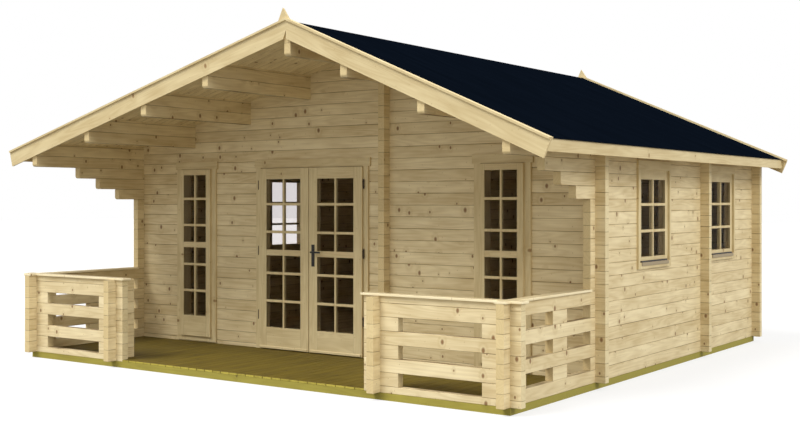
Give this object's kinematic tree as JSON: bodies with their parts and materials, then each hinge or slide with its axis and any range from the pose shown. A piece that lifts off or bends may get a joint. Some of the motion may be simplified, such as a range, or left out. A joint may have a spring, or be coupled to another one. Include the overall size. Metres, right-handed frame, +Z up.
{
  "type": "log cabin",
  "caption": "Square log cabin under a deep pitched roof with unequal slopes, with an open front terrace behind log rails and glazed double doors.",
  "frame": {"origin": "on the ground, at the middle of the rectangle that the whole cabin covers, roof included", "axes": "+X to the right seen from the terrace, +Y from the terrace to the rear wall, +Z up"},
  "size_m": [6.47, 5.949, 3.3305],
  "materials": {
    "log_wood": "planed, untreated spruce",
    "purlin_wood": "planed, untreated spruce",
    "treated_wood": "sawn, pressure-treated green",
    "deck_wood": "planed boards",
    "floor_wood": "planed boards",
    "roof_board_wood": "planed tongue and groove boards",
    "roofing_felt": "matt bitumen felt",
    "barge_wood": "planed",
    "rail_cap_wood": "planed",
    "joinery_wood": "smooth planed",
    "window_glass": "clear",
    "hinge_steel": "zinc plated",
    "handle_metal": "satin dark lacquer",
    "sill_metal": "satin grey coating"
  },
  "bodies": {
    "cabin": {"front_wall_left": "log_wood", "front_wall_right": "log_wood", "front_gable": "log_wood", "rear_wall": "log_wood", "cross_wall": "log_wood", "side_wall_left": "log_wood", "side_wall_right": "log_wood", "partition_wall": "log_wood", "partition_top": "log_wood", "front_rail_left": "log_wood", "front_rail_right": "log_wood", "side_rail_left": "log_wood", "side_rail_right": "log_wood", "entry_posts": "log_wood", "purlins": "purlin_wood", "ridge_purlin": "purlin_wood", "foundation_bearers": "treated_wood", "terrace_deck": "deck_wood", "cabin_floor": "floor_wood", "roof_boards_left": "roof_board_wood", "roof_boards_right": "roof_board_wood", "roof_felt_left": "roofing_felt", "roof_felt_right": "roofing_felt", "front_barge_left": "barge_wood", "front_barge_right": "barge_wood", "rear_barge_left": "barge_wood", "rear_barge_right": "barge_wood", "eave_fascia_left": "barge_wood", "eave_fascia_right": "barge_wood", "rail_caps": "rail_cap_wood", "door_frame": "joinery_wood", "tall_windows": "joinery_wood", "side_windows": "joinery_wood", "tall_window_glass": "window_glass", "side_window_glass": "window_glass", "frame_hinges": "hinge_steel", "window_sills": "sill_metal"},
    "door_left": {"door_leaf_left": "joinery_wood", "door_glass_left": "window_glass", "door_hinges_left": "hinge_steel"},
    "door_right": {"door_leaf_right": "joinery_wood", "door_glass_right": "window_glass", "door_hinges_right": "hinge_steel", "handle_plates": "handle_metal"},
    "lever": {"door_lever": "handle_metal"}
  },
  "joints": [
    {"name": "door_left_swing", "type": "hinge", "parent": "cabin", "child": "door_left", "pos_m": [-1.0085, -1.4265, 0], "axis": [0, 0, -1], "range_deg": [0, 100]},
    {"name": "door_right_swing", "type": "hinge", "parent": "cabin", "child": "door_right", "pos_m": [0.3845, -1.4265, 0], "axis": [0, 0, 1], "range_deg": [0, 100]},
    {"name": "lever_turn", "type": "hinge", "parent": "door_right", "child": "lever", "pos_m": [-0.254, -1.4095, 1.115], "axis": [0, 1, 0], "range_deg": [0, 40], "stiffness_Nm_per_rad": 2, "springref_deg": -20.05}
  ]
}
